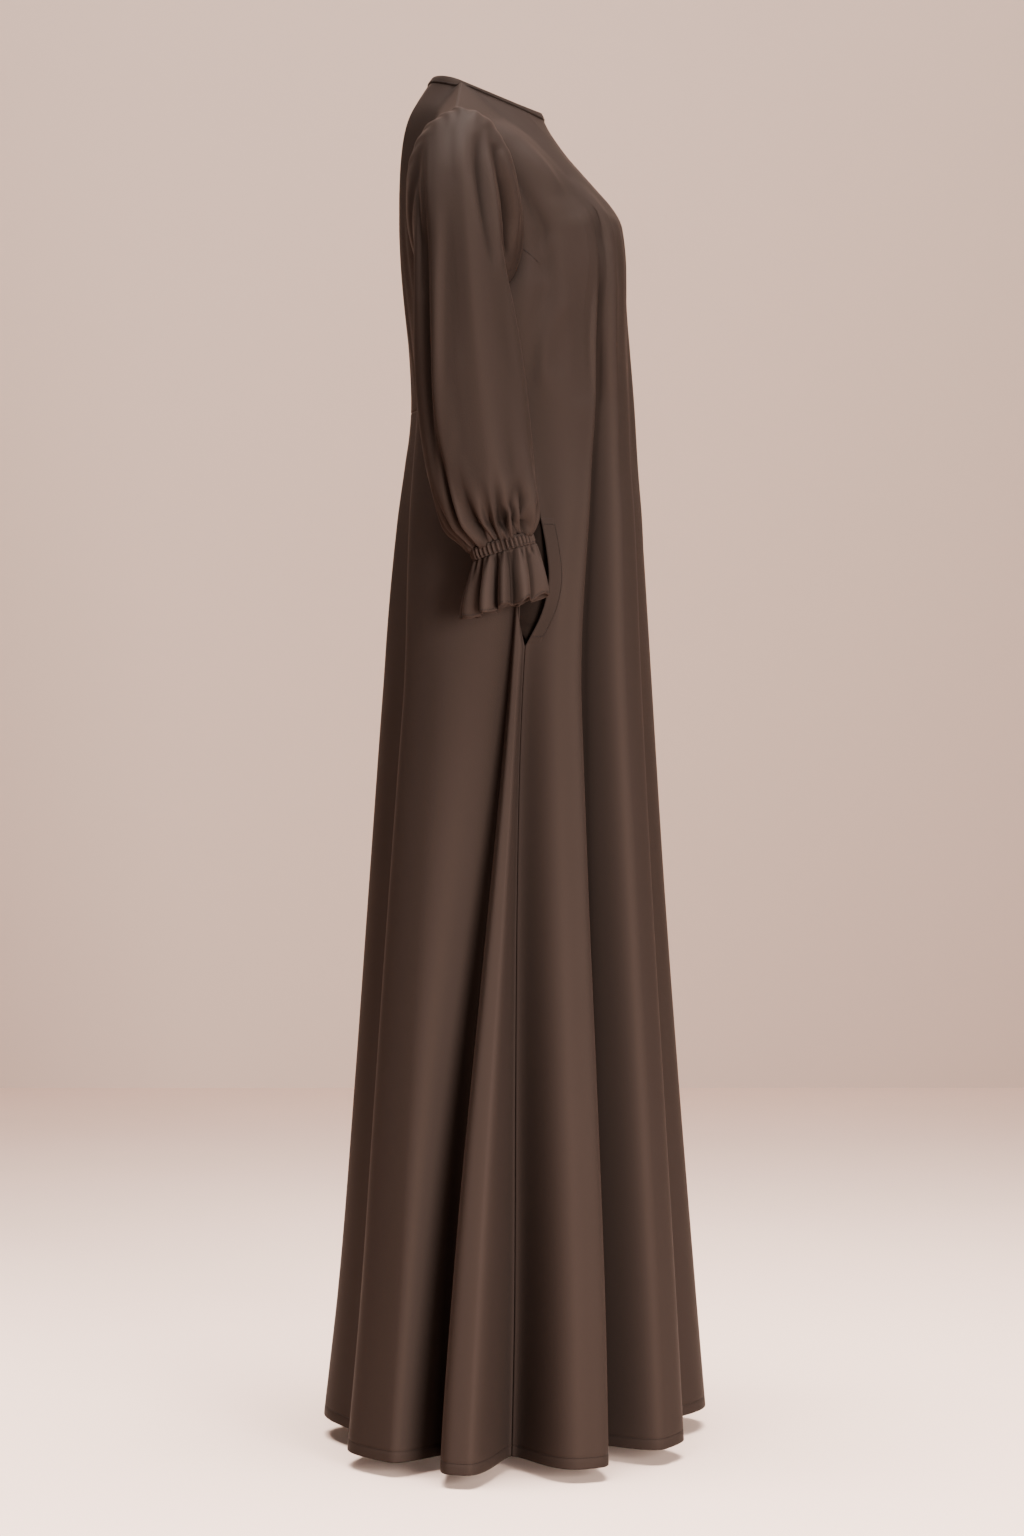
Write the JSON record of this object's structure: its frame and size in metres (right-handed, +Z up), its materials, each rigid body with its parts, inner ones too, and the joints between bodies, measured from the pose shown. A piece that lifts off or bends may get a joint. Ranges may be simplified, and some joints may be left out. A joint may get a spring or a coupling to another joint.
{
  "type": "abaya",
  "caption": "Long closed abaya in plain crepe with a round bound neck, bishop sleeves with gathered frilled wrists, side pockets and a full flared skirt, held in its worn form.",
  "frame": {"origin": "in the garment's middle plane, level with the middle of the shoulder seams, where the wearer's shoulders hold it up", "axes": "+Z up; the front faces -Y and the wearer's right is -X; +Z is the longest extent and +Y the shortest"},
  "size_m": [0.7467, 0.4151, 1.4554],
  "materials": {
    "crepe": "matte woven crepe with a soft sheen, dark taupe brown",
    "crepe_casing": "the same crepe gathered over elastic",
    "crepe_frill": "the same crepe in one layer",
    "crepe_binding": "the same crepe cut on the bias and pressed",
    "crepe_pocket": "the same crepe, as the pocket's bag"
  },
  "bodies": {
    "root": {"front": "crepe", "back_bodice": "crepe", "back_skirt": "crepe", "sleeve_right": "crepe", "sleeve_left": "crepe", "cuff_casing_right": "crepe_casing", "cuff_casing_left": "crepe_casing", "cuff_frill_right": "crepe_frill", "cuff_frill_left": "crepe_frill", "neck_binding": "crepe_binding", "pocket_welt_right": "crepe_binding", "pocket_welt_left": "crepe_binding", "pocket_bag_right": "crepe_pocket", "pocket_bag_left": "crepe_pocket"}
  },
  "joints": []
}
